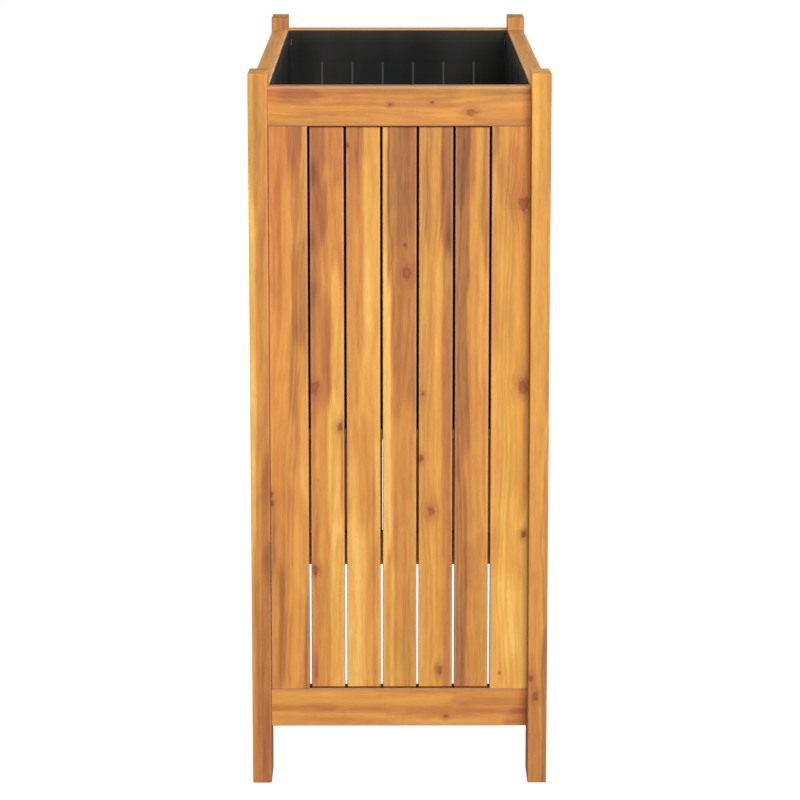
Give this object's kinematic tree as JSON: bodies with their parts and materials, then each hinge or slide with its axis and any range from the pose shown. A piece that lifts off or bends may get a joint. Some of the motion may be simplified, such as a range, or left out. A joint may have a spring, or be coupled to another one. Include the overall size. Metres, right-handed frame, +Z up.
{
  "type": "planter",
  "caption": "Oblong wooden planter with slatted walls between plank posts, a boarded base on cleats and a black fabric liner that holds soil and plants.",
  "frame": {"origin": "on the floor, under the middle of the planter", "axes": "+X across the narrow end, +Y along the long side away from the end that the picture shows, +Z up"},
  "size_m": [0.31, 0.79, 0.75],
  "materials": {
    "wood": "oiled acacia, satin, honey to reddish brown from board to board",
    "liner": "matt black ground-cover fabric",
    "steel": "stainless steel, satin"
  },
  "bodies": {
    "root": {"front_left_post": "wood", "front_right_post": "wood", "back_left_post": "wood", "back_right_post": "wood", "front_top_rail": "wood", "front_bottom_rail": "wood", "front_stile_1": "wood", "front_stile_2": "wood", "front_slat_1": "wood", "front_slat_2": "wood", "front_slat_3": "wood", "front_slat_4": "wood", "front_slat_5": "wood", "back_top_rail": "wood", "back_bottom_rail": "wood", "back_stile_1": "wood", "back_stile_2": "wood", "back_slat_1": "wood", "back_slat_2": "wood", "back_slat_3": "wood", "back_slat_4": "wood", "back_slat_5": "wood", "left_top_rail": "wood", "left_bottom_rail": "wood", "left_slats_1": "wood", "left_slats_2": "wood", "left_slats_3": "wood", "left_slats_4": "wood", "left_slats_5": "wood", "left_slats_6": "wood", "right_top_rail": "wood", "right_bottom_rail": "wood", "right_slats_1": "wood", "right_slats_2": "wood", "right_slats_3": "wood", "right_slats_4": "wood", "right_slats_5": "wood", "right_slats_6": "wood", "left_cleat": "wood", "right_cleat": "wood", "base_board_1": "wood", "base_board_2": "wood", "base_board_3": "wood", "base_board_4": "wood", "base_board_5": "wood", "base_board_6": "wood", "base_board_7": "wood", "front_left_top_screw": "steel", "front_left_bottom_screw": "steel", "front_right_top_screw": "steel", "front_right_bottom_screw": "steel", "back_left_top_screw": "steel", "back_left_bottom_screw": "steel", "back_right_top_screw": "steel", "back_right_bottom_screw": "steel", "liner": "liner"}
  },
  "joints": []
}
